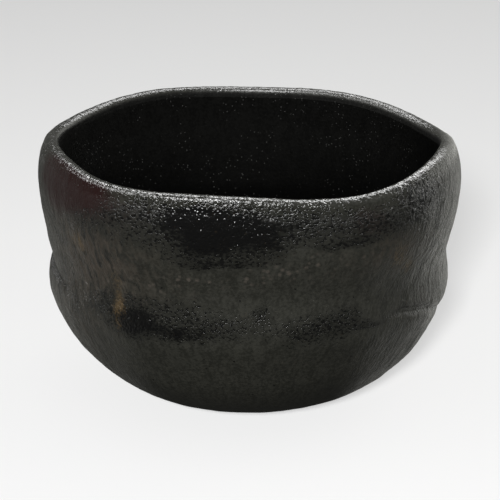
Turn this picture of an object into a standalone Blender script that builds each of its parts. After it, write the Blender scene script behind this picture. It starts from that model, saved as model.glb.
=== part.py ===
"""Black-glazed raku tea bowl, as the separate bodies of material that it is made of.

A hand-built clay body stands on a foot ring of the same clay, luted on under the floor. Three coats of
glaze cover them: one inside, one that laps over the lip and runs down outside to the foot, and one in the
well under the foot. The foot's resting face is wiped bare, so it parts the outer coat from the well's.

Every piece is turned from a half section about +Z. The whole bowl is then squeezed out of round: the wall
takes a few soft lobes, the lip rises and falls in low peaks and is rolled down here and there, and fingers
dent the waist.

Metres, +Z up. The origin is on the table, under the middle of the bowl, and the front faces -Y.
Angles are in degrees from +X, the bowl's right, towards +Y, its back.
"""

import math

import bmesh
import bpy

# Driving dimensions
BOWL_HEIGHT = 0.0775  # table to the mean top of the lip
SHOULDER_RADIUS = 0.0629  # the bowl's widest part, under the lip
LIP_RADIUS = 0.0588  # middle of the lip's top
LIP_THICKNESS = 0.0046
LIP_CROWN = 0.0027  # how far the lip's top stands above the wall's straight sides
LIP_INNER_FULLNESS = 0.50  # 1 is a half ellipse, and less is a flatter top with a tighter corner
LIP_OUTER_FULLNESS = 0.75
LIP_TURN = 0.95  # share of the outer half at which the lip's round runs on into the wall
GLAZE = 0.0009  # thickness of a coat of glaze
BOND_GAP = 0.0003  # clearance between two pieces that are bonded together in the real bowl
COVER = GLAZE + BOND_GAP
FOOT_RADIUS = 0.0214  # outside of the foot ring where it meets the table
FOOT_WIDTH = 0.0056  # width of the ring's resting face
FOOT_TAPER = 0.0014  # how far each side of the ring spreads between the table and the body
FOOT_ROUNDING = 0.0005
BODY_UNDERSIDE = 0.0054  # height of the clay body's underside, where the ring is luted on
WELL_HOLLOW = 0.0010  # how far the underside is carved up inside the ring
BOSS_RADIUS = 0.0060  # of the low boss left in the middle of the well
GLAZE_LINE = 0.0012  # height of the bare clay that shows round the foot
FILLET_FOOT = 0.0034  # height on the foot where the glaze starts to sweep out under the body
FILLET_SWELL = 0.0007  # how far the glaze has left the foot there
FILLET_REACH = 0.0032  # how far from the foot it has reached the underside

# Facets
STEPS = 60  # round the bowl
OUTER_SPACING = 0.0034  # between a section's points, outside
INNER_SPACING = 0.0055  # and inside
FOOT_SPACING = 0.0018  # and round the foot
LIP_CUTS = 8
ROUNDING_CUTS = 2
KEPT_WHEN_HIDDEN = 2  # a face that doesn't show keeps one in this many of its points
SHARP_ANGLE = 50.0  # an edge that turns more than this is rounded or shaded sharp
WELD = 0.00001  # points this close are one

# The glazed face as (radius, height): from the floor's centre up the inside, then from the lip down.
INNER_FACE = (
    (0.0000, 0.0128),  # bottom of the tea pool
    (0.0090, 0.0136),
    (0.0180, 0.0152),
    (0.0300, 0.0170),
    (0.0410, 0.0210),
    (0.0482, 0.0275),
    (0.0523, 0.0360),
    (0.0538, 0.0460),
    (0.0552, 0.0560),
    (0.0566, 0.0660),
    (LIP_RADIUS - LIP_THICKNESS / 2, BOWL_HEIGHT - LIP_CROWN - BOND_GAP),
)
OUTER_FACE = (  # from where the lip's round ends
    (0.0625, 0.0712),
    (SHOULDER_RADIUS, 0.0650),
    (0.0620, 0.0580),
    (0.0606, 0.0515),
    (0.0598, 0.0455),  # waist
    (0.0600, 0.0395),
    (0.0593, 0.0345),  # hip, above the turn to the underside
    (0.0559, 0.0270),
    (0.0513, 0.0182),
    (0.0446, 0.0110),
    (0.0366, 0.0060),
    (0.0310, BODY_UNDERSIDE - COVER),
)

# What the hands did to the turned shape
FORMED_FROM = 0.006  # nothing below this height is out of round
DENTS_FADE = 0.004  # and no dent is at its full depth until this far above it
WALL_LOBES = (  # (number round the bowl, size, angle of the first)
    (1, 0.0005, -66.0),
    (2, 0.0008, -74.0),
    (3, 0.0001, -7.0),
    (4, 0.0005, -36.0),
    (5, 0.0009, 26.0),
)
LIP_WAVES = (
    (1, 0.0002, -91.0),
    (2, 0.0005, -39.0),
    (3, 0.0010, -20.0),
    (4, 0.0007, -24.0),
    (5, 0.0009, -20.0),
)
LIP_ROLLS = (  # where the lip's outer edge is rolled down: (angle, half width in degrees, drop)
    (-48.0, 34.0, 0.0013),
    (128.0, 30.0, 0.0003),
)
ROLL_REACH = 0.012  # how far down the wall a roll is felt
DENTS = (  # (angle, height, half width in degrees, half height, depth)
    (187.0, 0.0425, 17.0, 0.0032, 0.0012),
    (-19.0, 0.0426, 26.0, 0.0066, 0.0014),
    (-75.0, 0.0500, 34.0, 0.0060, 0.0006),
    (95.0, 0.0440, 30.0, 0.0070, 0.0010),
    (-150.0, 0.0120, 30.0, 0.0050, 0.0007),
    (180.0, 0.0270, 30.0, 0.0080, -0.0013),  # below 0 it is a swelling
    (-32.0, 0.0140, 30.0, 0.0065, 0.0009),
)


def clear_scene():
    for obj in list(bpy.data.objects):
        bpy.data.objects.remove(obj)


def material(name, colour, roughness):
    made = bpy.data.materials.new(name)
    made.use_nodes = True
    shader = made.node_tree.nodes["Principled BSDF"]
    shader.inputs["Base Color"].default_value = (*colour, 1.0)
    shader.inputs["Roughness"].default_value = roughness
    shader.inputs["Metallic"].default_value = 0.0
    made.diffuse_color = (*colour, 1.0)
    return made


# ---- Sections, as lists of (radius, height) ----


def catmull_rom(a, b, c, d, t):
    """The point at share t of the stretch from b to c."""
    return tuple(
        0.5 * (2 * q + (r - p) * t + (2 * p - 5 * q + 4 * r - s) * t**2 + (3 * q - p - 3 * r + s) * t**3)
        for p, q, r, s in zip(a, b, c, d)
    )


def smooth_curve(points, spacing):
    """A smooth curve through the points, cut into steps of about this length."""
    padded = (points[0], *points, points[-1])
    curve = []
    for a, b, c, d in zip(padded, padded[1:], padded[2:], padded[3:]):
        cuts = max(1, round(math.dist(b, c) / spacing))
        curve += [catmull_rom(a, b, c, d, i / cuts) for i in range(cuts)]
    return [*curve, points[-1]]


def lip_arc():
    """The lip's round top, from its inner side to where it runs on into the wall, with both ends."""
    arc = []
    for i in range(LIP_CUTS + 1):
        across = -math.cos(math.acos(-LIP_TURN) * i / LIP_CUTS)
        fullness = LIP_INNER_FULLNESS if across < 0.0 else LIP_OUTER_FULLNESS
        rise = math.sqrt(max(0.0, 1.0 - across**2)) ** fullness
        arc.append((LIP_RADIUS + LIP_THICKNESS / 2 * across, BOWL_HEIGHT - LIP_CROWN * (1.0 - rise)))
    return arc


def foot_side(height, outer):
    """Radius of the foot ring's outer or inner side at this height."""
    spread = FOOT_TAPER * height / BODY_UNDERSIDE
    return FOOT_RADIUS + spread if outer else FOOT_RADIUS - FOOT_WIDTH - spread


def into_wall(curve, distance):
    """The curve moved into the material, which is on the right of its way along."""
    moved = []
    for i, (radius, height) in enumerate(curve):
        before, after = curve[max(i - 1, 0)], curve[min(i + 1, len(curve) - 1)]
        length = math.dist(before, after)
        along_r, along_z = (after[0] - before[0]) / length, (after[1] - before[1]) / length
        on_axis = radius == 0.0
        moved.append((0.0 if on_axis else radius + along_z * distance, height - along_r * distance))
    return moved


def thinned(curve):
    """The points that a hidden face keeps, both ends among them."""
    return [*curve[:-1:KEPT_WHEN_HIDDEN], curve[-1]]


def coat(*stretches):
    """Half section of a coat of glaze: its open face, then its hidden face back the other way."""
    face = [point for stretch in stretches for point in stretch]
    hidden = [point for stretch in stretches for point in thinned(into_wall(stretch, GLAZE))]
    return face + hidden[::-1]


# ---- Solids ----


def turned(name, section, finish, ring=False):
    """Turns a half section about +Z. A ring's section is closed, and any other starts and ends on the axis."""
    mesh = bpy.data.meshes.new(name)
    last = len(section) - 1
    edges = [(i, i + 1) for i in range(last)]
    if ring:
        edges.append((last, 0))
    mesh.from_pydata([(radius, 0.0, height) for radius, height in section], edges, [])
    obj = bpy.data.objects.new(name, mesh)
    bowl.objects.link(obj)
    mesh.materials.append(finish)
    turn = obj.modifiers.new("turn", "SCREW")
    turn.steps = turn.render_steps = STEPS
    turn.use_merge_vertices = True
    turn.merge_threshold = WELD
    return obj


def rounded(obj, width):
    edge = obj.modifiers.new("edge", "BEVEL")
    edge.width = width
    edge.segments = ROUNDING_CUTS
    edge.limit_method = "ANGLE"
    edge.angle_limit = math.radians(SHARP_ANGLE)
    return obj


def eased(value, start, end):
    """0 before start, 1 after end, and smooth between."""
    t = min(1.0, max(0.0, (value - start) / (end - start)))
    return t * t * (3.0 - 2.0 * t)


def waves(terms, angle):
    return sum(size * math.cos(math.radians(number * (angle - first))) for number, size, first in terms)


def dent_depth(angle, height):
    """How deep the finger dents are at this place on the wall."""
    depth = 0.0
    for middle, level, half_width, half_height, deepest in DENTS:
        aside = (angle - middle + 180.0) % 360.0 - 180.0
        depth += deepest * math.exp(-((aside / half_width) ** 2) - ((height - level) / half_height) ** 2)
    return depth


def roll_drop(angle, radius, height):
    """How far the rolled lip has come down at this place."""
    outwards = eased(radius, LIP_RADIUS - LIP_THICKNESS / 2, LIP_RADIUS + LIP_THICKNESS / 2)
    upwards = eased(height, BOWL_HEIGHT - ROLL_REACH, BOWL_HEIGHT)
    drop = 0.0
    for middle, half_width, deepest in LIP_ROLLS:
        aside = (angle - middle + 180.0) % 360.0 - 180.0
        drop += deepest * math.exp(-((aside / half_width) ** 2))
    return drop * outwards * upwards


def squeezed(point):
    """Where a point of the turned bowl goes when the hands squeeze it."""
    share = eased(point.z, FORMED_FROM, BOWL_HEIGHT)
    radius = math.hypot(point.x, point.y)
    if share == 0.0 or radius == 0.0:
        return point
    angle = math.degrees(math.atan2(point.y, point.x))
    yielding = eased(point.z, FORMED_FROM, FORMED_FROM + DENTS_FADE)
    push = share * waves(WALL_LOBES, angle) - yielding * dent_depth(angle, point.z)
    scale = 1.0 + push / radius
    lift = share**2 * waves(LIP_WAVES, angle) - roll_drop(angle, radius, point.z)
    return point.x * scale, point.y * scale, point.z + lift


def squeeze(obj):
    """Gives the object its finished mesh: turned, closed, squeezed out of round and shaded smooth."""
    graph = bpy.context.evaluated_depsgraph_get()
    mesh = bpy.data.meshes.new_from_object(obj.evaluated_get(graph))
    shape = bmesh.new()
    shape.from_mesh(mesh)
    bmesh.ops.remove_doubles(shape, verts=shape.verts, dist=WELD)
    bmesh.ops.recalc_face_normals(shape, faces=shape.faces)
    for vertex in shape.verts:
        vertex.co = squeezed(vertex.co)
    shape.to_mesh(mesh)
    shape.free()
    obj.modifiers.clear()
    obj.data = mesh
    mesh.shade_smooth()
    mesh.set_sharp_from_angle(angle=math.radians(SHARP_ANGLE))


clear_scene()
bowl = bpy.data.collections.new("tea_bowl")
bpy.context.scene.collection.children.link(bowl)

raku_clay = material("raku_clay", (0.30, 0.17, 0.10), 0.85)
outer_black = material("outer_black_glaze", (0.014, 0.014, 0.011), 0.30)
inner_black = material("inner_black_glaze", (0.006, 0.006, 0.006), 0.35)

# The glazed faces, with the material on their right.
inside = smooth_curve(INNER_FACE, INNER_SPACING)
lip = lip_arc()
wall = lip[:-1] + smooth_curve((lip[-1], *OUTER_FACE), OUTER_SPACING)
glazed_underside = BODY_UNDERSIDE - COVER
foot_skirt = smooth_curve(
    (
        (foot_side(FILLET_FOOT, True) + COVER + FILLET_REACH, glazed_underside),
        (foot_side(FILLET_FOOT, True) + COVER + FILLET_SWELL, FILLET_FOOT),
        (foot_side(GLAZE_LINE, True) + COVER, GLAZE_LINE),
    ),
    FOOT_SPACING,
)
well = smooth_curve(
    (
        (foot_side(GLAZE_LINE, False) - COVER, GLAZE_LINE),
        (foot_side(FILLET_FOOT, False) - COVER - FILLET_SWELL, FILLET_FOOT),
        (foot_side(FILLET_FOOT, False) - COVER - FILLET_REACH, glazed_underside),
        (BOSS_RADIUS, glazed_underside + WELL_HOLLOW),
        (0.0, glazed_underside + WELL_HOLLOW / 2),
    ),
    FOOT_SPACING,
)

clay_inside = thinned(into_wall(inside, COVER))
clay_outside = thinned(into_wall(wall, COVER))
clay_underside = [
    (foot_side(BODY_UNDERSIDE, True) + FOOT_TAPER, BODY_UNDERSIDE),
    (foot_side(BODY_UNDERSIDE, False) - BOND_GAP, BODY_UNDERSIDE),
    (BOSS_RADIUS, BODY_UNDERSIDE + WELL_HOLLOW),
    (0.0, BODY_UNDERSIDE + WELL_HOLLOW / 2),
]
ring_top = BODY_UNDERSIDE - BOND_GAP
ring_section = [
    (foot_side(ring_top, True), ring_top),
    (foot_side(0.0, True), 0.0),
    (foot_side(0.0, False), 0.0),
    (foot_side(ring_top, False), ring_top),
]

pieces = (
    turned("clay_body", clay_inside + clay_outside + clay_underside, raku_clay),
    rounded(turned("foot_ring", ring_section, raku_clay, ring=True), FOOT_ROUNDING),
    turned("inner_glaze", coat(inside), inner_black),
    turned("outer_glaze", coat(wall, foot_skirt), outer_black, ring=True),
    turned("well_glaze", thinned(into_wall(well, GLAZE))[::-1] + well, outer_black),
)
for piece in pieces:
    squeeze(piece)
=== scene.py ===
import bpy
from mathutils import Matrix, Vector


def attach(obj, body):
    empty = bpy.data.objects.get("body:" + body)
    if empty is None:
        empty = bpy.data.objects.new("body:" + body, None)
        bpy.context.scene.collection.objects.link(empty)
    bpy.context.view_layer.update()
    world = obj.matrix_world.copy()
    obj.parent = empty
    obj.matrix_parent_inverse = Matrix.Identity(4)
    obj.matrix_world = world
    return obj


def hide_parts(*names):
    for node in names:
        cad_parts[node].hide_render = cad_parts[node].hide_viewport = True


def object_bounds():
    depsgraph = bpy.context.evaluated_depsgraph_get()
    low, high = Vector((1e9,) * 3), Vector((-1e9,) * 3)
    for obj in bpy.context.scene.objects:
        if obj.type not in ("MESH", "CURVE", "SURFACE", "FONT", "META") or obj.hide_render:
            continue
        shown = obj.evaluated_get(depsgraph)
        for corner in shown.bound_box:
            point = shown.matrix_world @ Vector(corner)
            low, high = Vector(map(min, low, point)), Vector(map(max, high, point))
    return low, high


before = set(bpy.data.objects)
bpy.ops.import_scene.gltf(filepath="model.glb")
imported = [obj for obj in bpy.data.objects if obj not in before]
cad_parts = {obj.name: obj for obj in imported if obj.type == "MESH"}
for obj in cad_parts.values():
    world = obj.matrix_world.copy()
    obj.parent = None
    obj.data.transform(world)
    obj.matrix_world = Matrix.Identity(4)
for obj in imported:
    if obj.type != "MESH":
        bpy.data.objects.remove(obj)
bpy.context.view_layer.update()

# The looks of a black raku tea bowl. Each coat of glaze is a fine skin read off its CAD solid: the CAD's half
# sections are joined up, made smooth, and given the hand's marks, the glaze's streaks and its pits.
# Metres, +Z up, front towards -Y. Angles are in degrees from +X towards +Y, and a run is a length along the
# section.
import math

import bpy
import numpy as np

CAD_STEPS = 60  # half sections round each CAD solid
COLUMNS = 480  # and round each skin
COAT = 0.0009  # thickness of a coat of glaze
HIDDEN_EVERY = 10  # the hidden side of a coat keeps one row in this many
ON_AXIS = 1e-5  # a point this near the axis is on it
SAMPLES = 4000  # along a section, to space its rows

low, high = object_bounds()
MIDDLE = (low + high) / 2

# ---------------------------------------------------------------- reading the CAD's half sections


def cad_points(name):
    """The CAD node's corners, each once, and its edges between them."""
    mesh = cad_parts[name].data
    corners = np.empty(len(mesh.vertices) * 3)
    mesh.vertices.foreach_get("co", corners)
    edges = np.empty(len(mesh.edges) * 2, dtype=np.int64)
    mesh.edges.foreach_get("vertices", edges)
    points, index = np.unique(np.round(corners.reshape(-1, 3), 6), axis=0, return_inverse=True)
    return points, index.reshape(-1)[edges.reshape(-1, 2)]


def cad_loops(name):
    """The outline of each half section, in order round it: (columns, points, 2) radii and heights."""
    points, edges = cad_points(name)
    radius = np.hypot(points[:, 0], points[:, 1])
    step = 360.0 / CAD_STEPS
    column = np.round(np.degrees(np.arctan2(points[:, 1], points[:, 0])) / step).astype(int) % CAD_STEPS
    on_axis = radius < ON_AXIS
    links = [{} for _ in range(CAD_STEPS)]
    for a, b in edges:
        if a == b or on_axis[a] and on_axis[b]:
            continue
        if on_axis[a] or on_axis[b] or column[a] == column[b]:
            home = column[b] if on_axis[a] else column[a]
            links[home].setdefault(a, set()).add(b)
            links[home].setdefault(b, set()).add(a)
    loops = []
    for near in links:
        ends = [p for p in near if on_axis[p]]
        start = min(ends or near, key=lambda p: (points[p][2], radius[p]))
        path = [start]
        while True:
            onward = [p for p in near[path[-1]] if p not in path]
            if not onward:
                break
            path.append(min(onward, key=lambda p: (radius[p], points[p][2])))
        loops.append([(radius[p], points[p][2]) for p in path])
    return np.array(loops)


def open_face(name, from_axis):
    """The glazed face of a coat, without its ends and its hidden face, as (points, columns, 2).
    A coat's outline turns sharply at both ends of the two short edges that cross its thickness."""
    loops = cad_loops(name)
    mean = loops.mean(axis=0)
    onward = np.roll(mean, -1, axis=0) - mean
    heading = np.arctan2(onward[:, 1], onward[:, 0])
    turn = np.abs((heading - np.roll(heading, 1) + np.pi) % (2 * np.pi) - np.pi)
    first, second = sorted(np.argsort(turn + np.roll(turn, -1))[-2:])
    sides = (np.arange(first + 1, second + 1), np.arange(second + 1, first + 1 + len(mean)) % len(mean))
    face = loops[:, max(sides, key=len)].transpose(1, 0, 2)
    start, end = face[0].mean(axis=0), face[-1].mean(axis=0)
    backwards = start[0] > end[0] if from_axis else start[1] < end[1]
    return face[::-1] if backwards else face


# ---------------------------------------------------------------- smooth grids


def around(values, count):
    """Values at the CAD's columns, down the second axis, read off a smooth closed curve at more columns."""
    waves = np.fft.rfft(values, axis=1)
    padded = np.zeros((len(values), count // 2 + 1), complex)
    padded[:, : waves.shape[1]] = waves
    return np.fft.irfft(padded, n=count, axis=1) * count / values.shape[1]


def along(values, knots, places):
    """Values at the knots, down the first axis, read off a smooth curve at other places."""
    slope = np.gradient(values, knots, axis=0)
    i = np.clip(np.searchsorted(knots, places, side="right") - 1, 0, len(knots) - 2)
    width = (knots[i + 1] - knots[i])[:, None]
    t = ((places - knots[i]) / width[:, 0])[:, None]
    return (
        values[i] * (2 * t**3 - 3 * t**2 + 1)
        + slope[i] * width * (t**3 - 2 * t**2 + t)
        + values[i + 1] * (3 * t**2 - 2 * t**3)
        + slope[i + 1] * width * (t**3 - t**2)
    )


def run_length(face):
    """The run at each point of a face's mean section."""
    mean = face.mean(axis=1)
    return np.concatenate([[0.0], np.cumsum(np.linalg.norm(np.diff(mean, axis=0), axis=1))])


def rows_at(spacings):
    """Runs whose spacing follows the (run, spacing) pairs."""
    places = np.linspace(spacings[0][0], spacings[-1][0], SAMPLES)
    pace = 1.0 / np.interp(places, *zip(*spacings))
    count = np.concatenate([[0.0], np.cumsum((pace[1:] + pace[:-1]) / 2 * np.diff(places))])
    return np.interp(np.linspace(0.0, count[-1], int(round(count[-1])) + 1), count, places)


def placed(radius, height):
    """The grid's points, a column at a time round the axis from +X."""
    angle = np.linspace(0.0, 2 * np.pi, radius.shape[1], endpoint=False)
    return np.stack([radius * np.cos(angle), radius * np.sin(angle), height], axis=-1)


def normals_of(points):
    """Outward normals of a grid whose rows run up the inside and down the outside."""
    down = np.gradient(points, axis=0)
    turn = (np.roll(points, -1, axis=1) - np.roll(points, 1, axis=1)) / 2
    normal = np.cross(down, turn)
    length = np.linalg.norm(normal, axis=-1, keepdims=True)
    flat = length[..., 0] < 1e-14
    normal[flat] = (0.0, 0.0, 1.0)
    length[flat] = 1.0
    return normal / length


# ---------------------------------------------------------------- noise


def hashed(cell, seed):
    """An even random number from 0 to 1 for each lattice cell."""
    x, y, z = (cell[..., i].astype(np.int64) for i in range(3))
    h = (x * 374761393 + y * 668265263 + z * 1440662683 + seed * 1013904223) & 0xFFFFFFFF
    h = ((h ^ (h >> 15)) * 2246822519) & 0xFFFFFFFF
    h = ((h ^ (h >> 13)) * 3266489917) & 0xFFFFFFFF
    return ((h ^ (h >> 16)) & 0xFFFFFF) / 0xFFFFFF


def noise(points, size, seed):
    """Smooth noise from -1 to 1 with bumps of about this size."""
    scaled = points / size
    cell = np.floor(scaled)
    t = scaled - cell
    t = t * t * t * (t * (t * 6 - 15) + 10)
    total = 0.0
    for corner in range(8):
        step = np.array([corner & 1, corner >> 1 & 1, corner >> 2 & 1])
        weight = np.prod(np.where(step, t, 1 - t), axis=-1)
        total = total + weight * hashed(cell + step, seed)
    return total * 2 - 1


def layered(points, size, seed, layers=3):
    """Noise with finer and fainter noise laid over it."""
    total = sum(noise(points, size / 2**i, seed + i) / 2**i for i in range(layers))
    return total / (2 - 2 ** (1 - layers))


def nearest_spot(points, size, seed):
    """Distance to the nearest of a scatter of spots, in their spacing, and a random number of that spot's."""
    scaled = points / size
    cell = np.floor(scaled)
    best = np.full(points.shape[:-1], 9.0)
    number = np.zeros(points.shape[:-1])
    for i in range(27):
        here = cell + np.array([i % 3 - 1, i // 3 % 3 - 1, i // 9 - 1])
        spot = here + np.stack([hashed(here, seed + k) for k in range(3)], axis=-1)
        apart = np.linalg.norm(scaled - spot, axis=-1)
        closer = apart < best
        best = np.where(closer, apart, best)
        number = np.where(closer, hashed(here, seed + 3), number)
    return best, number


def step_between(low_end, high_end, value):
    """0 at the low end and 1 at the high end, with a smooth step from one to the other."""
    t = np.clip((value - low_end) / (high_end - low_end), 0.0, 1.0)
    return t * t * (3 - 2 * t)


# ---------------------------------------------------------------- what lies where on the outside

# Each patch is (angle, height, half width in degrees, half height, strength).
# Thick glaze, glossy black and pitted. First the broad pool under the lip at the front, with its two ends:
PITTED = (
    (-100.0, 0.0675, 12.5, 0.0062, 1.05),
    (-103.0, 0.0735, 13.0, 0.0034, 0.80),
    (-84.0, 0.0728, 10.0, 0.0034, 0.28),
    (-122.0, 0.0695, 8.0, 0.0052, 0.40),
    (-136.0, 0.0670, 9.0, 0.0036, 0.24),
    (-86.0, 0.0655, 7.0, 0.0050, 0.36),
    (-76.0, 0.0692, 11.0, 0.0040, 0.46),
    (-61.0, 0.0690, 9.0, 0.0042, 0.36),
    # torn lines under it
    (-97.0, 0.0600, 10.0, 0.0011, 0.50),
    (-65.0, 0.0640, 9.0, 0.0011, 0.52),
    # the low band, dark at its left end
    (-121.0, 0.0392, 6.0, 0.0042, 1.15),
    (-109.0, 0.0384, 7.0, 0.0020, 0.62),
    (-104.0, 0.0410, 12.0, 0.0044, 0.20),
    (-114.0, 0.0448, 15.0, 0.0042, 0.30),
    (-131.0, 0.0430, 6.0, 0.0034, 0.42),
    (-95.0, 0.0405, 8.0, 0.0034, 0.26),
    (-87.8, 0.0446, 1.6, 0.0020, 0.50),
    (-74.0, 0.0386, 9.5, 0.0046, 0.46),
    (-65.0, 0.0412, 7.0, 0.0034, 0.40),
    (-56.0, 0.0386, 6.0, 0.0012, 0.55),
    # the shoulders, the left flank and two single pits
    (-41.0, 0.0730, 8.0, 0.0056, 0.95),
    (-146.0, 0.0392, 15.0, 0.0036, 0.24),
    (-141.0, 0.0625, 14.0, 0.0040, 0.20),
    (-51.0, 0.0680, 9.0, 0.0046, 0.36),
    (-119.1, 0.0545, 1.0, 0.0008, 0.45),
    (-120.6, 0.0512, 1.2, 0.0008, 0.40),
    # round the back
    (25.0, 0.0420, 13.0, 0.0034, 0.75),
    (62.0, 0.0668, 18.0, 0.0060, 1.00),
    (112.0, 0.0540, 11.0, 0.0046, 0.70),
    (150.0, 0.0400, 12.0, 0.0034, 0.75),
    (165.0, 0.0690, 11.0, 0.0040, 0.60),
)
# A dark red blush, broad at the left of the lip
OXBLOOD = (
    (-153.0, 0.0724, 12.0, 0.0070, 1.20),
    (-136.0, 0.0716, 10.0, 0.0046, 0.80),
    (-122.0, 0.0712, 8.0, 0.0036, 0.42),
    (-145.0, 0.0765, 16.0, 0.0022, 0.60),
    (-59.0, 0.0692, 5.0, 0.0034, 0.75),
    (-38.0, 0.0387, 8.0, 0.0040, 0.20),
    (84.0, 0.0680, 15.0, 0.0060, 0.60),
)
# Small yellow-brown flecks and drips
OCHRE = (
    (-126.2, 0.0434, 1.8, 0.0030, 1.00),
    (-126.4, 0.0492, 2.2, 0.0044, 0.50),
    (-125.8, 0.0378, 1.6, 0.0022, 0.40),
    (-137.8, 0.0580, 3.0, 0.0036, 0.60),
    (-143.0, 0.0600, 7.0, 0.0050, 0.30),
    (-50.5, 0.0580, 3.0, 0.0036, 0.62),
    (-46.6, 0.0529, 3.0, 0.0032, 0.66),
    (104.0, 0.0470, 3.0, 0.0040, 0.80),
    (40.0, 0.0560, 4.0, 0.0035, 0.50),
)
# Pale ash flecks, in a row round the waist
PALE = (
    (-106.3, 0.0552, 4.0, 0.0016, 1.00),
    (-99.5, 0.0536, 5.0, 0.0016, 0.80),
    (-86.9, 0.0552, 7.0, 0.0020, 0.85),
    (-76.0, 0.0588, 8.0, 0.0036, 0.80),
    (-60.0, 0.0578, 8.0, 0.0030, 0.60),
    (-79.5, 0.0284, 3.0, 0.0014, 0.80),
    (-114.0, 0.0510, 9.0, 0.0060, 0.35),
    (-132.0, 0.0500, 12.0, 0.0080, 0.45),
    (30.0, 0.0520, 12.0, 0.0012, 0.50),
    (128.0, 0.0560, 9.0, 0.0012, 0.50),
)
# Where the satin is browner
WARM = (
    (-136.0, 0.0560, 18.0, 0.0120, 0.75),
    (-152.0, 0.0360, 16.0, 0.0140, 0.35),
    (-52.0, 0.0600, 12.0, 0.0060, 0.35),
    (95.0, 0.0500, 22.0, 0.0120, 0.80),
)
# Where the glaze ran in fine dark streaks, with pale grey streaks painted as highlights on ridges
STREAKED = (
    (-145.0, 0.0612, 16.0, 0.0060, 1.00),
    (-140.0, 0.0530, 18.0, 0.0080, 0.60),
    (-150.0, 0.0385, 16.0, 0.0050, 0.60),
    (-128.0, 0.0450, 16.0, 0.0080, 0.60),
    (-35.0, 0.0560, 16.0, 0.0140, 0.70),
    (-40.0, 0.0280, 16.0, 0.0080, 0.60),
    (95.0, 0.0520, 30.0, 0.0140, 0.80),
    (20.0, 0.0400, 20.0, 0.0120, 0.50),
)
# Lines pressed into the wall: (angle, height) points, half width and depth
LEFT_LINE = (-192.0, 0.0440), (-184.0, 0.0420), (-174.0, 0.0409), (-164.0, 0.0416), (-147.0, 0.0412)
RIGHT_LEDGE = (
    (6.0, 0.0288),
    (-12.0, 0.0300),
    (-22.0, 0.0316),
    (-34.0, 0.0367),
    (-44.0, 0.0392),
    (-54.0, 0.0399),
)
BACK_LINE = (96.0, 0.0330), (120.0, 0.0355), (140.0, 0.0345)
CREASES = (
    (LEFT_LINE, 0.0010, 0.00090),
    (RIGHT_LEDGE, 0.0012, 0.00110),
    (BACK_LINE, 0.0016, 0.00045),
)
# A thumb's shallow hollow over the ledge, with its depth for a strength
SCOOP = ((-46.0, 0.0440, 13.0, 0.0085, 0.00040),)
WALL_RADIUS = 0.060  # it turns an angle into a distance along the wall
LEAN = 0.38  # how far the glaze's streaks lean in towards the front as they run down each side


def turned_from(angle, middle):
    """The turn from the middle to an angle, from -180 to 180."""
    return (angle - middle + 180.0) % 360.0 - 180.0


def patches(angle, height, listed):
    """The summed strength of soft round patches."""
    total = 0.0
    for middle, level, half_width, half_height, strength in listed:
        aside = turned_from(angle, middle) / half_width
        total = total + strength * np.exp(-(aside**2) - ((height - level) / half_height) ** 2)
    return total


def along_line(angle, height, line):
    """Distance along the wall to a line of (angle, height) points, and the share of the line passed there."""
    best = np.full(angle.shape, 1.0)
    passed = np.zeros(angle.shape)
    for i, ((angle_a, height_a), (angle_b, height_b)) in enumerate(zip(line, line[1:])):
        x = np.radians(turned_from(angle, angle_a)) * WALL_RADIUS
        y = height - height_a
        run_x = math.radians(angle_b - angle_a) * WALL_RADIUS
        run_y = height_b - height_a
        t = np.clip((x * run_x + y * run_y) / (run_x**2 + run_y**2), 0.0, 1.0)
        apart = np.hypot(x - t * run_x, y - t * run_y)
        passed = np.where(apart < best, (i + t) / (len(line) - 1), passed)
        best = np.minimum(best, apart)
    return best, passed


# ---------------------------------------------------------------- the shape of the two big coats

# Runs past the seam of the inner and the outer coat, over which each part of the outside begins or ends
LIP_RUN = 0.0075  # the lip's round, from the seam to the outer wall
OUTER_FROM = 0.0010, 0.0024
LIP_FROM = 0.0010, 0.0030
LIP_TO = LIP_RUN - 0.0005, LIP_RUN + 0.0030
PATCHES_FROM = LIP_RUN - 0.0035, LIP_RUN - 0.0010
WALL_FROM = LIP_RUN - 0.003, LIP_RUN + 0.003
INSIDE_PAINTED_LIGHT = -0.042, -0.004  # runs before the seam over which the inside turns from its black to a lighter colour: painted light on its upper part
FOOT_BELOW = 0.0110, 0.0060  # heights
# Angles from the front, in degrees
SIDES = (25.0, 60.0), (155.0, 120.0)
FLANKS = (35.0, 60.0), (0.040, 0.030)  # and the heights they lie under
BACK = 95.0, 130.0

# (size, height) of bumps in the relief
SWELL = 0.016, 0.00022
LIP_CALM = 0.5  # the lip loses this share of the swell
RIPPLE = 0.0030, 0.00005
LIP_LUMPS = 0.0020, 0.00011
# Streaks down the wall: their size, how drawn out they are, how much the patches' wander bends them, and how
# high they stand all round, at the sides and low on the flanks
STROKE_SIZE = 0.0028
STROKE_STRETCH = 0.40
STROKE_WANDER = 0.6
STROKE_HEIGHT = 0.00001, 0.00017, 0.00010
# Where a pool of glaze is broken up by pits
BROKEN_FROM = 0.25, 0.60
BROKEN_RAGGED = 0.12
BROKEN_RISE = 0.00008
PITS_APART = 0.0019
PIT_EDGE = 0.42, 0.10  # distances from a pit's middle, in those spacings
PIT_SHARE = 0.25, 0.75  # some pits are deep, some shallow, some not there
PIT_DEPTH = 0.00022
# The patches' edges wander, and are ragged.
WANDER = 0.0026
WANDER_SIZE = 0.0075, 0.0070  # sideways, and up and down
WANDER_FLAT = 0.7  # it is less up and down
RAGGED_SIZE = 0.0022
# A pressed line fades in and out over shares of its length. Shade is painted beside it, added in as pitted
# glaze.
FADE_IN, FADE_OUT = (0.0, 0.15), (1.0, 0.75)
CREASE_SHADE_SPREAD = 1.8  # how far the painted shade spreads from the line, in the line's half widths
# how strongly the painted shade beside a line counts as pitted glaze
CREASE_SHADE_STRENGTH = 0.30
FLAT_MIDDLE = 0.004  # the relief dies out over this radius at the axis
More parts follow.
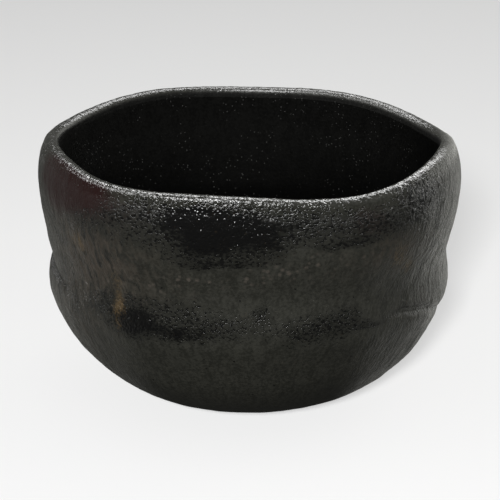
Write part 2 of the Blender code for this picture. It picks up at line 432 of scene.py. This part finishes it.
# The lip's glaze stands in fine bumps, most of all at the front, and is duller at the back.
LIP_BITE = 0.55, 0.45  # all round, and more where it is bitten
LIP_BITTEN_AT, LIP_BITTEN_HALF_WIDTH = -98.0, 34.0
LIP_DULL_BACK = 0.5

inside = open_face("inner_glaze", from_axis=True)
outside = open_face("outer_glaze", from_axis=False)
sheet = np.concatenate([inside, outside])
knots = run_length(sheet)
seam = (knots[len(inside) - 1] + knots[len(inside)]) / 2
# Pairs of a run and the rows' spacing there: finest over the lip
inner_rows = rows_at(((0.0, 0.0006), (0.012, 0.0011), (seam - 0.010, 0.0010), (seam, 0.0005)))
outer_rows = rows_at(
    (
        (seam, 0.00045),
        (seam + LIP_RUN, 0.00045),
        (seam + LIP_RUN + 0.004, 0.00062),
        (seam + 0.072, 0.00066),
        (knots[-1] - 0.012, 0.00085),
        (knots[-1], 0.00055),
    )
)
places = np.concatenate([inner_rows, outer_rows[1:]])
radius = along(around(sheet[..., 0], COLUMNS), knots, places)
height = along(around(sheet[..., 1], COLUMNS), knots, places)
radius[0] = 0.0
smooth_points = placed(radius, height)
smooth_normals = normals_of(smooth_points)
run = np.broadcast_to((places - seam)[:, None], radius.shape)
angle = np.degrees(np.arctan2(smooth_points[..., 1], smooth_points[..., 0]))
from_front = np.abs(turned_from(angle, -90.0))
outer = step_between(*OUTER_FROM, run)
lip = step_between(*LIP_FROM, run) * (1 - step_between(*LIP_TO, run))
patched = step_between(*PATCHES_FROM, run)
wall = step_between(*WALL_FROM, run)
foot = step_between(*FOOT_BELOW, height) * wall
side_on = step_between(*SIDES[0], from_front) * step_between(*SIDES[1], from_front)
back = step_between(*BACK, from_front)
flank = step_between(*FLANKS[0], from_front) * (1 - back) * step_between(*FLANKS[1], height)

drift_angle = np.degrees(layered(smooth_points, WANDER_SIZE[0], 11) * WANDER / WALL_RADIUS)
drift_height = layered(smooth_points, WANDER_SIZE[1], 21) * WANDER * WANDER_FLAT
ragged = layered(smooth_points, RAGGED_SIZE, 31)
at_angle, at_height = angle + drift_angle, height + drift_height
groove = np.zeros(radius.shape)
# a band of painted shade beside each pressed line
crease_shade = np.zeros(radius.shape)
for line, half_width, depth in CREASES:
    apart, passed = along_line(angle, height, line)
    fading = step_between(*FADE_OUT, passed) * step_between(*FADE_IN, passed)
    groove = groove + depth * fading * np.exp(-((apart / half_width) ** 2))
    crease_shade = np.maximum(crease_shade, fading * np.exp(-((apart / half_width / CREASE_SHADE_SPREAD) ** 2)))


def covered(listed, raggedness, where, extra=0.0):
    """How strongly the listed patches cover each point, from 0 to 1."""
    strength = patches(at_angle, at_height, listed) * (1.0 + raggedness * ragged) + extra
    return np.clip(strength, 0.0, 1.0) * where


# Thick pitted glaze, and the painted shade beside the pressed lines, which darkens the colour there and also
# raises pits in the relief
pitted = covered(PITTED, 0.25, patched, CREASE_SHADE_STRENGTH * crease_shade)
oxblood = covered(OXBLOOD, 0.25, patched)
ochre = covered(OCHRE, 0.6, wall)
pale = covered(PALE, 0.6, wall)
warm = covered(WARM, 0.0, wall)
streaked = covered(STREAKED, 0.0, wall)

leaning = np.radians(angle) + LEAN * np.cos(np.radians(angle)) * run / WALL_RADIUS
flow = np.stack([np.cos(leaning) * WALL_RADIUS, np.sin(leaning) * WALL_RADIUS, run], axis=-1)
drawn_out = flow * (1.0, 1.0, STROKE_STRETCH) + STROKE_WANDER * drift_height[..., None]
strokes = layered(drawn_out, STROKE_SIZE, 51, 2)
spot, number = nearest_spot(smooth_points, PITS_APART, 41)
pits = step_between(*PIT_EDGE, spot) * step_between(*PIT_SHARE, number)
broken = step_between(*BROKEN_FROM, pitted + BROKEN_RAGGED * ragged)
swell = SWELL[1] * layered(smooth_points, SWELL[0], 61)
ripple = RIPPLE[1] * layered(smooth_points, RIPPLE[0], 71, 2)
lip_lumps = layered(smooth_points, LIP_LUMPS[0], 81, 3)
stroke_height = STROKE_HEIGHT[0] + STROKE_HEIGHT[1] * side_on + STROKE_HEIGHT[2] * flank

# Outwards along the normals
relief = swell * (1 - LIP_CALM * lip)
relief = relief + ripple * outer
relief = relief + stroke_height * strokes * wall * (1 - foot)
relief = relief + broken * (BROKEN_RISE * ragged - PIT_DEPTH * pits)
relief = relief + lip * LIP_LUMPS[1] * lip_lumps
relief = relief - patches(angle, height, SCOOP) * wall
relief = relief - groove * wall
relief = relief * np.clip(radius / FLAT_MIDDLE, 0.0, 1.0)
points = smooth_points + smooth_normals * relief[..., None]
normals = normals_of(points)

# ---------------------------------------------------------------- meshes


def link(obj):
    bpy.context.scene.collection.objects.link(obj)
    return obj


def closed_skin(name, grid, on_axis, finish, layers, shades=None):
    """A closed mesh over a grid whose rows run once round the section, or from the axis back to the axis."""
    count = len(grid)
    number = np.arange(count * COLUMNS).reshape(count, COLUMNS)
    if on_axis:
        number[0] = number[0, 0]
        number[-1] = number[-1, 0]
    following = np.roll(number, -1, axis=1)
    quads = []
    for i in range(count - 1 if on_axis else count):
        j = (i + 1) % count
        quads.append(np.stack([number[i], number[j], following[j], following[i]], axis=-1))
    quads = np.concatenate(quads)
    flat = grid.reshape(-1, 3)
    a, b, c, d = (flat[quads[:, k]] for k in range(4))
    volume = (a * np.cross(b, c)).sum() + (a * np.cross(c, d)).sum()
    if volume < 0:
        quads = quads[:, ::-1]
    faces = [list(dict.fromkeys(quad)) for quad in quads.tolist()]
    used = sorted({p for face in faces for p in face})
    renumber = {p: i for i, p in enumerate(used)}
    mesh = bpy.data.meshes.new(name)
    mesh.from_pydata(flat[used].tolist(), [], [[renumber[p] for p in face] for face in faces])
    mesh.shade_smooth()
    for key, value in layers.items():
        if value.ndim == 3:
            layer = mesh.attributes.new(key, "FLOAT_VECTOR", "POINT")
            layer.data.foreach_set("vector", value.reshape(-1, 3)[used].astype(np.float32).reshape(-1))
        else:
            layer = mesh.attributes.new(key, "FLOAT", "POINT")
            layer.data.foreach_set("value", value.reshape(-1)[used].astype(np.float32))
    if shades is not None:
        mesh.normals_split_custom_set_from_vertices(shades.reshape(-1, 3)[used].tolist())
    mesh.materials.append(finish)
    return link(bpy.data.objects.new(name, mesh))


def coat(name, surface, rows, on_axis, finish):
    """A skin over these rows of a surface: the fine open face, then a coarse hidden face behind it."""
    kept = np.unique(np.append(np.arange(rows[0], rows[-1], HIDDEN_EVERY), rows[-1]))[::-1]
    back = surface["base"][kept] - surface["outwards"][kept] * COAT
    grid = np.concatenate([surface["points"][rows], back])
    shades = np.concatenate([surface["shades"][rows], -surface["outwards"][kept]])
    layers = {key: np.concatenate([value[rows], value[kept]]) for key, value in surface["layers"].items()}
    return closed_skin(name, grid, on_axis, finish, layers, shades)


# ---------------------------------------------------------------- materials


class Finish:
    """A Principled material and short ways to wire nodes into it."""

    def __init__(self, name, colour, roughness):
        self.made = bpy.data.materials.new(name)
        self.made.use_nodes = True
        self.made.diffuse_color = (*colour, 1.0)
        self.tree = self.made.node_tree
        self.shader = self.tree.nodes["Principled BSDF"]
        self.put(self.shader, "Base Color", (*colour, 1.0))
        self.put(self.shader, "Roughness", roughness)
        self.where = self.node("ShaderNodeTexCoord").outputs["Object"]

    def put(self, node, key, value):
        if isinstance(value, bpy.types.NodeSocket):
            self.tree.links.new(value, node.inputs[key])
        else:
            node.inputs[key].default_value = value

    def node(self, kind, settings=(), **inputs):
        made = self.tree.nodes.new(kind)
        for key, value in dict(settings).items():
            setattr(made, key, value)
        for key, value in inputs.items():
            self.put(made, key.replace("_", " "), value)
        return made

    def layer(self, name):
        return self.node("ShaderNodeAttribute", {"attribute_name": name}).outputs["Fac"]

    def flow(self, stretch):
        """Places over a skin laid out flat. A stretch under 1 draws noise in them out down the wall."""
        laid = self.node("ShaderNodeAttribute", {"attribute_name": "flow"}).outputs["Vector"]
        made = self.node("ShaderNodeVectorMath", {"operation": "MULTIPLY"})
        self.put(made, 0, laid)
        self.put(made, 1, (1.0, 1.0, stretch))
        return made.outputs[0]

    def jitter(self, value, source, amount):
        """A value made uneven by a noise, whose middle is 0.5."""
        return self.math("MULTIPLY_ADD", self.math("SUBTRACT", source, 0.5), amount, value)

    def math(self, operation, *values):
        made = self.tree.nodes.new("ShaderNodeMath")
        made.operation = operation
        for i, value in enumerate(values):
            self.put(made, i, value)
        return made.outputs[0]

    def noise(self, size, detail=2.0, where=None, swirl=0.0):
        inputs = {"Vector": where or self.where, "Scale": 1.0 / size, "Detail": detail, "Distortion": swirl}
        return self.node("ShaderNodeTexNoise", **inputs).outputs["Fac"]

    def spots(self, apart):
        """Distance to the nearest of a scatter of spots, in their spacing."""
        return self.node("ShaderNodeTexVoronoi", Vector=self.where, Scale=1.0 / apart).outputs["Distance"]

    def between(self, value, low_end, high_end, low_out=0.0, high_out=1.0):
        made = self.node("ShaderNodeMapRange", {"interpolation_type": "SMOOTHSTEP"})
        for i, given in enumerate((value, low_end, high_end, low_out, high_out)):
            self.put(made, i, given)
        return made.outputs[0]

    def blend(self, share, first, second):
        made = self.tree.nodes.new("ShaderNodeMix")
        made.data_type = "RGBA"
        self.put(made, 0, share)
        for i, given in ((6, first), (7, second)):
            self.put(made, i, given if isinstance(given, bpy.types.NodeSocket) else (*given, 1.0))
        return made.outputs[2]

    def raised(self, heights):
        """Bump from (height, metres) pairs."""
        normal = None
        for value, metres in heights:
            made = self.node("ShaderNodeBump", Height=value, Distance=metres)
            if normal is not None:
                self.put(made, "Normal", normal)
            normal = made.outputs["Normal"]
        self.put(self.shader, "Normal", normal)


# Linear colours
SATIN = (0.0345, 0.0345, 0.0284)
SATIN_DARK = (0.0180, 0.0182, 0.0145)
WARM_SATIN = (0.0520, 0.0375, 0.0265)
SHADED_SATIN = (0.0120, 0.0122, 0.0098)
GLOSS_BLACK = (0.0018, 0.0018, 0.0019)
# painted highlight: the pale grey of the streaks' ridges
PAINTED_RIDGE_HIGHLIGHT = (0.0780, 0.0720, 0.0600)
OXBLOOD_COLOUR = (0.0160, 0.0048, 0.0044)
OCHRE_COLOUR = (0.0900, 0.0610, 0.0290)
PALE_COLOUR = (0.1000, 0.0840, 0.0700)
INNER_BLACK = (0.0036, 0.0036, 0.0035)
# painted light: the lighter colour of the upper inside
INNER_PAINTED_LIGHT = (0.0132, 0.0132, 0.0123)
INNER_DEEP = (0.0026, 0.0026, 0.0025)
# painted glints: the inside's tiny pale specks
PAINTED_GLINT_GREY = (0.1900, 0.1900, 0.1830)
CLAY = (0.30, 0.17, 0.10)
CLAY_DARK, CLAY_PALE = (0.24, 0.13, 0.075), (0.34, 0.20, 0.12)
CLAY_GRIT = (0.10, 0.06, 0.04)

# Sizes of the glaze's noises, and how drawn out down the wall: under 1 is drawn out, over 1 squashed
MOTTLE_SIZE, MOTTLE_STRETCH = 0.0036, 1.5
GRAIN_SIZE = 0.0008
DASH_SIZE, DASH_STRETCH = 0.0010, 1.7
STREAK_SIZE, STREAK_STRETCH = 0.0022, 0.45
WRINKLE_SIZE, WRINKLE_STRETCH = 0.0019, 0.48
RIM_BITE_SIZE, RIM_BITE_STRETCH = 0.0011, 0.55
FINE_SIZE = 0.0009
TOOTH_SIZE = 0.0004
CLUSTER_SIZE = 0.012  # the inside's painted glints lie in clusters
# Spacings of its spots
PORES_APART = 0.0050
FLECKS_APART = 0.0019
HOLES_APART = 0.0012
GLINTS_APART, GLINT_RADIUS = 0.0011, 0.13  # spacing of the specks painted as glints, and their radius in that spacing
# Roughness
SATIN_ROUGH = 0.44
BLACK_SMOOTHER, RED_SMOOTHER, RIM_SMOOTHER = -0.20, -0.04, -0.33
ROUGH_WANDER = 0.05
INNER_ROUGH = 0.38
INNER_SPECULAR, OUTER_MORE_SPECULAR = 0.30, 0.20
# Heights of its bumps
FINE_HEIGHT, FINE_ON_BLACK, FINE_ON_RIM = 0.00014, 0.00022, 0.00010
TOOTH_HEIGHT = 0.00004
RIM_BITE_HEIGHT = 0.00034
WRINKLE_HEIGHT, WRINKLE_AT_SIDES = 0.00002, 0.00125
WRINKLE_ON_RED = 0.25  # the oxblood keeps this share of the wrinkles
BLACK_SUNK = -0.00007
HOLE_HEIGHT = 0.00016
# The oxblood comes in between these strengths, once its dashes are added.
RED_FROM = 0.05, 0.65


def glaze_finish(name):
    """The black glaze: satin, but black and glossy where it is thick, with oxblood, ochre and pale flecks.
    The skin's layers say where."""
    made = Finish(name, SATIN, 0.4)
    thick, out, rim, side = (made.layer(key) for key in ("pitted", "outer", "lip", "side"))
    rim_bite = made.layer("lip_bite")
    mottle = made.noise(MOTTLE_SIZE, 5.0, made.flow(MOTTLE_STRETCH), 0.4)
    grain = made.noise(GRAIN_SIZE, 3.0)
    dashes = made.noise(DASH_SIZE, 4.0, made.flow(DASH_STRETCH))
    streaks = made.noise(STREAK_SIZE, 4.0, made.flow(STREAK_STRETCH), 0.8)

    # The satin, its warm side and its streaks
    tone = made.math("MULTIPLY_ADD", mottle, 0.5, 0.25)
    tone = made.jitter(tone, grain, 1.3)
    tone = made.jitter(tone, streaks, 0.9)
    colour = made.blend(made.between(tone, 0.20, 0.78), SATIN_DARK, SATIN)
    warmth = made.math("MULTIPLY", made.layer("warm"), made.between(streaks, 0.36, 0.60, 0.15, 1.0))
    colour = made.blend(warmth, colour, WARM_SATIN)
    cracks = made.math("MULTIPLY", made.between(streaks, 0.46, 0.36, 0.0, 0.85), made.layer("streaked"))
    colour = made.blend(cracks, colour, GLOSS_BLACK)
    # pale grey streaks: painted highlights on ridges
    ridge_highlights = made.math("MULTIPLY", made.between(streaks, 0.54, 0.68, 0.0, 0.6), made.layer("streaked"))
    colour = made.blend(ridge_highlights, colour, PAINTED_RIDGE_HIGHLIGHT)
    pores = made.between(made.spots(PORES_APART), 0.055, 0.075, 0.85, 0.0)
    colour = made.blend(pores, colour, GLOSS_BLACK)

    # Oxblood and pale flecks
    red = made.jitter(made.layer("oxblood"), dashes, 0.7)
    colour = made.blend(made.between(red, *RED_FROM), colour, OXBLOOD_COLOUR)
    flecks = made.math("MULTIPLY", made.layer("pale"), made.between(made.spots(FLECKS_APART), 0.46, 0.12))
    flecks = made.math("MULTIPLY", flecks, made.between(mottle, 0.34, 0.56, 0.1, 0.80))
    colour = made.blend(flecks, colour, PALE_COLOUR)

    # Thick glaze, and the painted shade beside the pressed lines that comes in with it: a shade round it,
    # then a black pool with a torn edge
    cloud = made.jitter(thick, grain, made.between(thick, 0.02, 0.30))
    colour = made.blend(made.between(cloud, 0.03, 0.55, 0.0, 0.85), colour, SHADED_SATIN)
    edge = made.math("MULTIPLY_ADD", dashes, 0.8, thick)
    pool = made.between(edge, 0.82, 1.25)
    torn = made.between(made.math("MULTIPLY_ADD", thick, 0.26, dashes), 0.56, 0.73)
    torn = made.math("MULTIPLY", torn, made.between(thick, 0.04, 0.22, 0.0, 0.92))
    black = made.math("MAXIMUM", pool, torn)
    colour = made.blend(black, colour, GLOSS_BLACK)
    spots = made.jitter(made.layer("ochre"), grain, 1.6)
    colour = made.blend(made.between(spots, 0.20, 1.20), colour, OCHRE_COLOUR)

    # The inside: painted light on its upper part, and tiny pale specks in clusters that are painted glints
    inner = made.blend(made.layer("painted_light_inside"), INNER_BLACK, INNER_PAINTED_LIGHT)
    inner = made.blend(made.between(tone, 0.66, 0.34, 0.0, 0.4), inner, INNER_DEEP)
    painted_glints = made.math("LESS_THAN", made.spots(GLINTS_APART), GLINT_RADIUS)
    clusters = made.between(made.noise(CLUSTER_SIZE), 0.48, 0.62)
    inner = made.blend(made.math("MULTIPLY", painted_glints, clusters), inner, PAINTED_GLINT_GREY)
    made.put(made.shader, "Base Color", made.blend(out, inner, colour))

    rough = made.math("MULTIPLY_ADD", black, BLACK_SMOOTHER, SATIN_ROUGH)
    rough = made.math("MULTIPLY_ADD", made.between(red, *RED_FROM), RED_SMOOTHER, rough)
    rough = made.math("MULTIPLY_ADD", rim, RIM_SMOOTHER, rough)
    rough = made.math("ADD", rough, made.between(mottle, 0.2, 0.8, -ROUGH_WANDER, ROUGH_WANDER))
    inner_rough = made.math("MULTIPLY_ADD", out, -INNER_ROUGH, INNER_ROUGH)
    made.put(made.shader, "Roughness", made.math("ADD", made.math("MULTIPLY", rough, out), inner_rough))
    specular = made.math("MULTIPLY_ADD", out, OUTER_MORE_SPECULAR, INNER_SPECULAR)
    made.put(made.shader, "Specular IOR Level", specular)

    fine_height = made.math("MULTIPLY_ADD", black, FINE_ON_BLACK, FINE_HEIGHT)
    fine_height = made.math("MULTIPLY_ADD", rim_bite, FINE_ON_RIM, fine_height)
    rim_noise = made.noise(RIM_BITE_SIZE, 2.0, made.flow(RIM_BITE_STRETCH), 0.6)
    wrinkle = made.noise(WRINKLE_SIZE, 3.0, made.flow(WRINKLE_STRETCH), 2.0)
    wrinkled = made.math("MULTIPLY", side, made.between(red, 0.05, 0.50, 1.0, WRINKLE_ON_RED))
    holes = made.between(made.spots(HOLES_APART), 0.05, 0.38)
    made.raised(
        (
            (made.noise(FINE_SIZE, 2.0), fine_height),
            (made.noise(TOOTH_SIZE, 1.0), TOOTH_HEIGHT),
            (rim_noise, made.math("MULTIPLY", rim_bite, RIM_BITE_HEIGHT)),
            (wrinkle, made.math("MULTIPLY_ADD", wrinkled, WRINKLE_AT_SIDES, WRINKLE_HEIGHT)),
            (black, BLACK_SUNK),
            (holes, made.math("MULTIPLY", made.between(thick, 0.32, 0.80), HOLE_HEIGHT)),
        )
    )
    return made.made


def clay_finish(name):
    """Bare, gritty clay."""
    made = Finish(name, CLAY, 0.9)
    mottle = made.noise(0.003, 4.0)
    grain = made.noise(0.0005, 3.0)
    colour = made.blend(made.between(mottle, 0.3, 0.7), CLAY_DARK, CLAY_PALE)
    colour = made.blend(made.between(grain, 0.62, 0.72, 0.0, 0.5), colour, CLAY_GRIT)
    made.put(made.shader, "Base Color", colour)
    made.raised(((grain, 0.0002), (mottle, 0.0003)))
    return made.made


glaze = glaze_finish("raku_black_glaze")
clay = clay_finish("bare_raku_clay")

seam_row = len(inner_rows) - 1
bitten = np.exp(-((turned_from(angle, LIP_BITTEN_AT) / LIP_BITTEN_HALF_WIDTH) ** 2))
bowl = {
    "points": points,
    "base": smooth_points,
    "outwards": smooth_normals,
    "shades": normals,
    "layers": {
        # thick pitted glaze, with painted shade beside the pressed lines
        "pitted": pitted,
        "oxblood": oxblood,
        "ochre": ochre,
        "pale": pale,
        "warm": warm,
        # painted light, lighter towards the top of the inside
        "painted_light_inside": step_between(*INSIDE_PAINTED_LIGHT, run),
        "outer": outer,
        "lip": lip * (1.0 - LIP_DULL_BACK * back),
        "lip_bite": lip * (LIP_BITE[0] + LIP_BITE[1] * bitten),
        "side": side_on * wall,
        "streaked": streaked,
        "flow": flow,
    },
}
inner_skin = coat("inner_glaze_skin", bowl, np.arange(0, seam_row + 1), True, glaze)
outer_skin = coat("outer_glaze_skin", bowl, np.arange(seam_row, len(places)), False, glaze)

# The island of glaze inside the foot faces down, so its normals are turned over.
WELL_SPACING = 0.0006
WELL_RELIEF = 0.0050, 0.00014  # size and height
WELL_EDGE = 0.002, 0.0015  # runs over which the relief dies out at the axis and at the rim
well_face = open_face("well_glaze", from_axis=True)
well_knots = run_length(well_face)
well_places = rows_at(((0.0, WELL_SPACING), (well_knots[-1], WELL_SPACING)))
well_radius = along(around(well_face[..., 0], COLUMNS), well_knots, well_places)
well_height = along(around(well_face[..., 1], COLUMNS), well_knots, well_places)
well_radius[0] = 0.0
well_base = placed(well_radius, well_height)
well_out = -normals_of(well_base)
well_end = well_places[-1]
well_share = step_between(0.0, WELL_EDGE[0], well_places)
well_share = well_share * step_between(well_end, well_end - WELL_EDGE[1], well_places)
well_relief = WELL_RELIEF[1] * layered(well_base, WELL_RELIEF[0], 91) * well_share[:, None]
well_points = well_base + well_out * well_relief[..., None]
well = {
    "points": well_points,
    "base": well_base,
    "outwards": well_out,
    "shades": -normals_of(well_points),
    "layers": {key: np.zeros(well_radius.shape) for key in bowl["layers"]},
}
well["layers"] |= {  # patches that are noise alone
    "pitted": np.clip(0.25 + 0.9 * layered(well_base, 0.0080, 95), 0.0, 1.0),
    "ochre": np.clip(layered(well_base, 0.0060, 97) - 0.2, 0.0, 1.0),
    "warm": np.clip(layered(well_base, 0.0090, 99), 0.0, 1.0),
    "outer": np.ones(well_radius.shape),
    "flow": well_base,
}
well_skin = coat("well_glaze_skin", well, np.arange(len(well_places)), True, glaze)

# The foot ring is bare clay, worn a little below its CAD surface and never proud of it.
FOOT_SPACING = 0.0005
FOOT_WEAR = 0.00006
FOOT_UNEVEN = 0.0025, 0.00005  # size and height
GRIT_APART, GRIT_DEPTH = 0.0016, 0.00012
GRIT_EDGE = 0.30, 0.10  # distances from a grain's middle, in that spacing
foot_loops = cad_loops("foot_ring").transpose(1, 0, 2)
foot_loops = np.concatenate([foot_loops, foot_loops[:1]])
foot_knots = run_length(foot_loops)
foot_rows = int(round(foot_knots[-1] / FOOT_SPACING))
foot_places = np.linspace(0.0, foot_knots[-1], foot_rows, endpoint=False)
foot_share = np.array([np.interp(foot_places, foot_knots, hat) for hat in np.eye(len(foot_knots))])
foot_radius = foot_share.T @ around(foot_loops[..., 0], COLUMNS)
foot_height = foot_share.T @ around(foot_loops[..., 1], COLUMNS)
foot_base = placed(foot_radius, foot_height)
foot_along = np.roll(foot_base, -1, axis=0) - np.roll(foot_base, 1, axis=0)
foot_turn = np.roll(foot_base, -1, axis=1) - np.roll(foot_base, 1, axis=1)
foot_out = np.cross(foot_turn, foot_along)
foot_out = foot_out / np.maximum(np.linalg.norm(foot_out, axis=-1, keepdims=True), 1e-12)
if (foot_out * (foot_base - foot_base.mean(axis=0))).sum() < 0:
    foot_out = -foot_out
grit = step_between(*GRIT_EDGE, nearest_spot(foot_base, GRIT_APART, 111)[0])
wear = FOOT_WEAR + FOOT_UNEVEN[1] * layered(foot_base, FOOT_UNEVEN[0], 101) + GRIT_DEPTH * grit
foot_points = foot_base - foot_out * wear[..., None]
foot_skin = closed_skin("foot_ring_skin", foot_points, False, clay, {})

for piece, node, slot in (
    (inner_skin, "inner_glaze", "inner_black_glaze"),
    (outer_skin, "outer_glaze", "outer_black_glaze"),
    (well_skin, "well_glaze", "outer_black_glaze"),
    (foot_skin, "foot_ring", "raku_clay"),
):
    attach(piece, "root")
    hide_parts(node)
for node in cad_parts.values():
    node.data.materials.clear()
    node.data.materials.append(clay)

# ---------------------------------------------------------------- stage

# What the camera sees of the paper: (distance from the bowl's middle, brightness)
SEEN_NEAR = 0.16, 0.94
SEEN_FAR = 0.62, 0.77
GLOW_SHARE = 0.58  # the share of that brightness which is there even in shadow
PAPER = 0.35
# What the glaze reflects of the paper. It brightens with the bearing's sine, towards the back, and with its
# cosine, to the right. The left has a share of the right's brightness, which drops between two distances.
ROOM_TINT = (1.0, 1.0, 0.94, 1.0)
ROOM_BRIGHT = 1.10
ROOM_DARK = 0.11
ROOM_BACK = 0.10, 0.50
ROOM_RIGHT = 0.00, 0.70
LEFT_NEAR, LEFT_FAR = (0.08, 0.60), (0.24, 0.03)  # (distance, share)
UNDER_BOWL = 0.030, 0.160  # it is dim this near the bowl's middle, and full from here on
UNDER_DIM = 0.42
# The floor close by, at the bowl's sides, lights its lower flanks.
BOUNCE = 0.44
BOUNCE_NEAR = 0.16, 0.09  # it comes in between these distances
BOUNCE_SIDE = 0.72, 0.98  # and these sizes of the bearing's cosine
BOUNCE_LEFT = 0.55  # the left side's share
LEFT_TO_RIGHT = -0.5, 0.5
SWEEP_RADIUS = 1.6
SWEEP_BEND = 0.5
SWEEP_HEIGHT = 1.6
BEND_STEPS, TURN_STEPS = 24, 96
WORLD_LIGHT = 0.25


def stage_finish(name):
    """Paper that glows softly to the camera, darker with distance, and shows the bowl's shadow only faintly.
    In the bowl's reflections it is a dimmer room, brightest behind and to the right."""
    made = bpy.data.materials.new(name)
    made.use_nodes = True
    tree = made.node_tree
    tree.nodes.clear()

    def add(kind, *values, **settings):
        """A node with these values or sockets at its first inputs."""
        node = tree.nodes.new(kind)
        for key, value in settings.items():
            setattr(node, key, value)
        for i, value in enumerate(values):
            if isinstance(value, bpy.types.NodeSocket):
                tree.links.new(value, node.inputs[i])
            elif value is not None:
                node.inputs[i].default_value = value
        return node.outputs

    def math_of(operation, *values):
        return add("ShaderNodeMath", *values, operation=operation)[0]

    def ramp(value, ends, low_out=0.0, high_out=1.0, kind="SMOOTHSTEP"):
        return add("ShaderNodeMapRange", value, *ends, low_out, high_out, interpolation_type=kind)[0]

    def straight(value, start, end):
        return ramp(value, (start[0], end[0]), start[1], end[1], "LINEAR")

    where = add("ShaderNodeTexCoord")["Object"]
    apart = add("ShaderNodeVectorMath", where, operation="LENGTH")["Value"]
    flat = add("ShaderNodeVectorMath", where, (1.0, 1.0, 0.0), operation="MULTIPLY")[0]
    heading = add("ShaderNodeVectorMath", flat, operation="NORMALIZE")[0]
    bearing = add("ShaderNodeSeparateXYZ", heading)

    glowing = math_of("MULTIPLY", straight(apart, SEEN_NEAR, SEEN_FAR), GLOW_SHARE)
    glow = add("ShaderNodeEmission", None, glowing)[0]
    matt = add("ShaderNodeBsdfDiffuse", (PAPER, PAPER, PAPER, 1.0))[0]
    to_camera = add("ShaderNodeAddShader", glow, matt)[0]

    right = ramp(bearing["X"], ROOM_RIGHT, straight(apart, LEFT_NEAR, LEFT_FAR))
    share = math_of("MULTIPLY", ramp(bearing["Y"], ROOM_BACK), right)
    dim = math_of("MULTIPLY", ramp(apart, UNDER_BOWL, UNDER_DIM), ROOM_DARK)
    room = math_of("MULTIPLY_ADD", share, ROOM_BRIGHT, dim)
    beside_bowl = ramp(math_of("ABSOLUTE", bearing["X"]), BOUNCE_SIDE, 0.0, BOUNCE)
    bounce = math_of("MULTIPLY", beside_bowl, ramp(apart, BOUNCE_NEAR))
    bounce = math_of("MULTIPLY", bounce, ramp(bearing["X"], LEFT_TO_RIGHT, BOUNCE_LEFT, 1.0, "LINEAR"))
    reflected = add("ShaderNodeEmission", ROOM_TINT, math_of("ADD", room, bounce))[0]

    seen = add("ShaderNodeLightPath")["Is Camera Ray"]
    add("ShaderNodeOutputMaterial", add("ShaderNodeMixShader", seen, reflected, to_camera)[0])
    return made


def sweep():
    """A round studio sweep: a flat floor that bends up into a wall."""
    turns = np.linspace(0.0, math.pi / 2, BEND_STEPS)
    outline = [(0.0, 0.0), (SWEEP_RADIUS - SWEEP_BEND, 0.0)]
    outline += [
        (SWEEP_RADIUS - SWEEP_BEND + SWEEP_BEND * math.sin(t), SWEEP_BEND - SWEEP_BEND * math.cos(t))
        for t in turns[1:]
    ]
    outline.append((SWEEP_RADIUS, SWEEP_HEIGHT))
    mesh = bpy.data.meshes.new("studio_sweep")
    edges = [(i, i + 1) for i in range(len(outline) - 1)]
    mesh.from_pydata([(r, 0.0, z + low.z) for r, z in outline], edges, [])
    obj = link(bpy.data.objects.new("studio_sweep", mesh))
    turn = obj.modifiers.new("turn", "SCREW")
    turn.steps = turn.render_steps = TURN_STEPS
    turn.use_smooth_shade = True
    mesh.materials.append(stage_finish("studio_paper"))
    return obj


def area_light(name, place, size, watts, gives, lit):
    """A soft light aimed at the bowl. It gives gloss, diffuse light or both, to the lit objects alone."""
    data = bpy.data.lights.new(name, "AREA")
    data.shape = "RECTANGLE"
    data.size, data.size_y = size
    data.energy = watts
    obj = link(bpy.data.objects.new(name, data))
    obj.location = place
    obj.rotation_mode = "QUATERNION"
    obj.rotation_quaternion = (MIDDLE - obj.location).to_track_quat("-Z", "Y")
    obj.visible_glossy = gives != "diffuse"
    obj.visible_diffuse = gives != "gloss"
    receivers = bpy.data.collections.new(name + "_falls_on")
    for receiver in lit:
        receivers.objects.link(receiver)
    obj.light_linking.receiver_collection = receivers
    return obj


floor = sweep()
outsides = [outer_skin, well_skin, foot_skin, *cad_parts.values()]
# (name, place, (width, height), watts, what it gives, what it falls on)
LIGHTS = (
    ("top_strip", (0.06, 0.66, 0.78), (1.00, 0.22), 9.0, "gloss", outsides),
    ("front_softbox", (-0.25, -0.95, 0.58), (0.60, 0.50), 13.5, "diffuse", outsides),
    ("overhead_softbox", (-0.18, -0.40, 0.95), (0.60, 0.30), 19.0, "gloss", outsides),
    ("left_strip", (-0.72, 0.22, 0.66), (0.60, 0.14), 3.6, "gloss", outsides),
    ("inside_softbox", (0.0, -1.10, 0.50), (0.40, 0.40), 5.6, "diffuse", [inner_skin]),
    ("room_softbox", (-0.11, -1.10, 0.50), (0.12, 0.12), 28.0, "both", [floor]),
)
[area_light(*listed) for listed in LIGHTS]

world = bpy.data.worlds.new("studio")
bpy.context.scene.world = world
world.use_nodes = True
world.node_tree.nodes["Background"].inputs["Color"].default_value = (1.0, 1.0, 1.0, 1.0)
world.node_tree.nodes["Background"].inputs["Strength"].default_value = WORLD_LIGHT
bpy.context.scene.view_settings.view_transform = "Standard"

CAMERA_DISTANCE = 0.60  # from where it aims
CAMERA_ELEVATION = math.radians(19.09)
CAMERA_ASIDE = 0.0001
AIM_ABOVE_FLOOR = 0.04250
SENSOR_WIDTH, LENS = 36.0, 145.4  # millimetres
camera_data = bpy.data.cameras.new("camera")
camera_data.sensor_width = SENSOR_WIDTH
camera_data.lens = LENS
camera_data.clip_start, camera_data.clip_end = 0.01, 20.0
camera = link(bpy.data.objects.new("camera", camera_data))
camera.location = (
    CAMERA_ASIDE,
    -CAMERA_DISTANCE * math.cos(CAMERA_ELEVATION),
    low.z + AIM_ABOVE_FLOOR + CAMERA_DISTANCE * math.sin(CAMERA_ELEVATION),
)
camera.rotation_euler = (math.pi / 2 - CAMERA_ELEVATION, 0.0, 0.0)
bpy.context.scene.camera = camera
